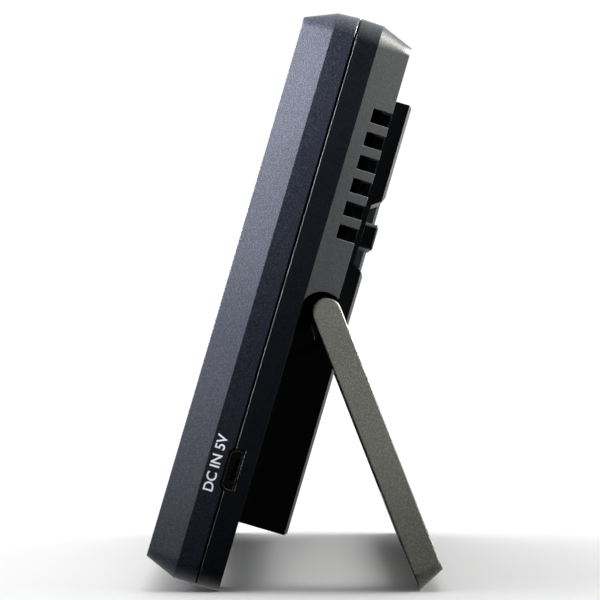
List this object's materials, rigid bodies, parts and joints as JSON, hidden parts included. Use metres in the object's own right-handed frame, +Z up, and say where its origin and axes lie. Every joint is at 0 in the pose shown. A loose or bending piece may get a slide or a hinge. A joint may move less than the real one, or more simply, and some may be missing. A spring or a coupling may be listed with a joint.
{
  "type": "digital photo frame",
  "caption": "Slim landscape digital photo frame with chamfered case, rear buttons, vent slots and side power socket, leaning back on a folding U-shaped kickstand.",
  "frame": {"origin": "middle of the footprint, on the level floor that the case's rear bottom edge and the open stand's tip stand on", "axes": "+X to the viewer's right along the case's width, -Y towards the viewer (the screen faces -Y and leans back 16.3 degrees), +Z up"},
  "size_m": [0.179, 0.0554, 0.1082],
  "materials": {
    "case_plastic": "fine spark-eroded texture",
    "button_plastic": "satin",
    "lens_acrylic": "clear, hard-coated",
    "tape": "black foam tape",
    "display_glass": "polarised",
    "film": "white diffusing film",
    "guide_acrylic": "clear",
    "tray_steel": "bright",
    "flex": "amber polyimide",
    "insulator": "black film",
    "board": "green solder mask",
    "chip_epoxy": "moulded",
    "capacitor_can": "bright",
    "plated_steel": "plated",
    "connector_plastic": "natural",
    "contact_plastic": "black",
    "screw_steel": "black zinc",
    "pin_steel": "ground",
    "led_strip": "white strip"
  },
  "bodies": {
    "case": {"front_bezel": "case_plastic", "rear_shell": "case_plastic", "screen_lens": "lens_acrylic", "lens_adhesive": "tape", "lcd_gasket": "tape", "lcd_glass": "display_glass", "optical_films": "film", "light_guide": "guide_acrylic", "led_strip": "led_strip", "reflector_sheet": "film", "lcd_tray": "tray_steel", "lcd_flex_cable": "flex", "insulator_sheet": "insulator", "main_board": "board", "processor": "chip_epoxy", "memory_chip": "chip_epoxy", "storage_chip": "chip_epoxy", "power_regulator": "chip_epoxy", "power_inductor": "chip_epoxy", "capacitors": "capacitor_can", "clock_crystal": "plated_steel", "flex_connector": "connector_plastic", "power_socket_shell": "plated_steel", "power_socket_tongue": "contact_plastic", "card_slot_shell": "plated_steel", "card_slot_contacts": "contact_plastic", "switch_bodies": "contact_plastic", "case_screws": "screw_steel", "board_screws": "screw_steel", "hinge_pins": "pin_steel"},
    "stand": {"kickstand": "case_plastic"},
    "menu_key": {"menu_button": "button_plastic", "menu_plunger": "contact_plastic"},
    "previous_key": {"previous_button": "button_plastic", "previous_plunger": "contact_plastic"},
    "next_key": {"next_button": "button_plastic", "next_plunger": "contact_plastic"},
    "play_key": {"play_button": "button_plastic", "play_plunger": "contact_plastic"}
  },
  "joints": [
    {"name": "stand_hinge", "type": "hinge", "parent": "case", "child": "stand", "pos_m": [0, 0.006, 0.05213], "axis": [1, 0, 0], "range_deg": [-37.65, 0]},
    {"name": "menu_press", "type": "slide", "parent": "case", "child": "menu_key", "axis": [0, -0.9598, 0.2807], "range_m": [0, 0.0004], "stiffness_N_per_m": 4000},
    {"name": "previous_press", "type": "slide", "parent": "case", "child": "previous_key", "axis": [0, -0.9598, 0.2807], "range_m": [0, 0.0004], "stiffness_N_per_m": 4000},
    {"name": "next_press", "type": "slide", "parent": "case", "child": "next_key", "axis": [0, -0.9598, 0.2807], "range_m": [0, 0.0004], "stiffness_N_per_m": 4000},
    {"name": "play_press", "type": "slide", "parent": "case", "child": "play_key", "axis": [0, -0.9598, 0.2807], "range_m": [0, 0.0004], "stiffness_N_per_m": 4000}
  ]
}
